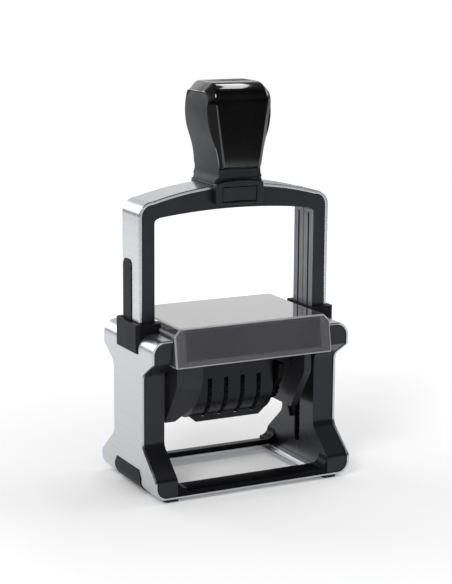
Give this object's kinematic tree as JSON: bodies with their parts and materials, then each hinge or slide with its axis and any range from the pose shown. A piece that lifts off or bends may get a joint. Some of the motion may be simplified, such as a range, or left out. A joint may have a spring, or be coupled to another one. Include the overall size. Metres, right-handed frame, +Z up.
{
  "type": "self-inking date stamp",
  "caption": "Desk date stamp: a sprung bow handle turns an inked printing rotor with date wheels through a metal-shelled stand under a clear pad drawer.",
  "frame": {"origin": "middle of the footprint, on the plane of the rubber feet", "axes": "+X right, +Y to the back, +Z up; the front with the leaning pad cover faces -Y"},
  "size_m": [0.1016, 0.0594, 0.1847],
  "materials": {
    "shell_metal": "satin brushed silver",
    "bow_metal": "satin brushed silver",
    "black_plastic": "satin black moulding",
    "grip_plastic": "soft-touch dark grey",
    "plate_gloss": "polished black",
    "foot_rubber": "matt",
    "steel": "bright",
    "bush_nylon": "natural nylon",
    "smoked_clear": "smoked clear plastic",
    "pad_felt": "inked felt",
    "die_plastic": "satin",
    "print_rubber": "matt print rubber",
    "band_rubber": "matt band rubber",
    "wheel_plastic": "satin knurled"
  },
  "bodies": {
    "base": {"outer_shell": "shell_metal", "frame_wall_left": "black_plastic", "frame_wall_right": "black_plastic", "cam_track_left": "black_plastic", "cam_track_right": "black_plastic", "front_bar": "black_plastic", "rear_bar": "black_plastic", "collar_left": "black_plastic", "collar_right": "black_plastic", "side_foot_left": "black_plastic", "side_foot_right": "black_plastic", "window_rim": "steel", "rubber_feet": "foot_rubber", "base_screws": "steel", "return_spring_left": "steel", "return_spring_right": "steel"},
    "handle": {"bow_skin": "bow_metal", "bow_frame_front": "black_plastic", "bow_frame_rear": "black_plastic", "leg_strip_left": "black_plastic", "leg_strip_right": "black_plastic", "axle_bush_left": "bush_nylon", "axle_bush_right": "bush_nylon", "saddle": "black_plastic", "knob_grip": "grip_plastic", "knob_wrap": "plate_gloss"},
    "front_button": {"lock_button_front": "black_plastic"},
    "rear_button": {"lock_button_rear": "black_plastic"},
    "pad_drawer": {"pad_cover": "smoked_clear", "pad_tray": "black_plastic", "ink_pad": "pad_felt"},
    "rotor": {"rotor_body": "black_plastic", "rotor_arm_left": "black_plastic", "rotor_arm_right": "black_plastic", "dater_guard": "black_plastic", "die_plate": "die_plastic", "text_plate": "print_rubber", "band_nose": "die_plastic", "date_band_1": "band_rubber", "date_band_2": "band_rubber", "date_band_3": "band_rubber", "date_band_4": "band_rubber", "wheel_rod": "steel", "axle_pin_left": "steel", "axle_pin_right": "steel", "cam_pin_left": "steel", "cam_pin_right": "steel"},
    "wheel_1": {"date_wheel_1": "wheel_plastic"},
    "wheel_2": {"date_wheel_2": "wheel_plastic"},
    "wheel_3": {"date_wheel_3": "wheel_plastic"},
    "wheel_4": {"date_wheel_4": "wheel_plastic"}
  },
  "joints": [
    {"name": "press", "type": "slide", "parent": "base", "child": "handle", "axis": [0, 0, -1], "range_m": [0, 0.045], "stiffness_N_per_m": 400, "springref_m": -0.03, "deforming": ["return_spring_left", "return_spring_right"]},
    {"name": "rotor_turn", "type": "hinge", "parent": "handle", "child": "rotor", "pos_m": [0, 0, 0.058], "axis": [1, 0, 0], "range_deg": [0, 180]},
    {"name": "front_button_push", "type": "slide", "parent": "handle", "child": "front_button", "axis": [0, 1, 0], "range_m": [0, 0.0012], "stiffness_N_per_m": 400, "springref_m": -0.002},
    {"name": "rear_button_push", "type": "slide", "parent": "handle", "child": "rear_button", "axis": [0, -1, 0], "range_m": [0, 0.0012], "stiffness_N_per_m": 400, "springref_m": -0.002},
    {"name": "drawer_slide", "type": "slide", "parent": "base", "child": "pad_drawer", "axis": [0, -1, 0], "range_m": [0, 0.05]},
    {"name": "wheel_1_spin", "type": "hinge", "parent": "rotor", "child": "wheel_1", "pos_m": [0, 0.005, 0.0426], "axis": [1, 0, 0], "continuous": true},
    {"name": "wheel_2_spin", "type": "hinge", "parent": "rotor", "child": "wheel_2", "pos_m": [0, 0.005, 0.0426], "axis": [1, 0, 0], "continuous": true},
    {"name": "wheel_3_spin", "type": "hinge", "parent": "rotor", "child": "wheel_3", "pos_m": [0, 0.005, 0.0426], "axis": [1, 0, 0], "continuous": true},
    {"name": "wheel_4_spin", "type": "hinge", "parent": "rotor", "child": "wheel_4", "pos_m": [0, 0.005, 0.0426], "axis": [1, 0, 0], "continuous": true}
  ],
  "couplings": [
    {"joint": "rotor_turn", "follows": "press", "rad_per_m": 69.81}
  ]
}
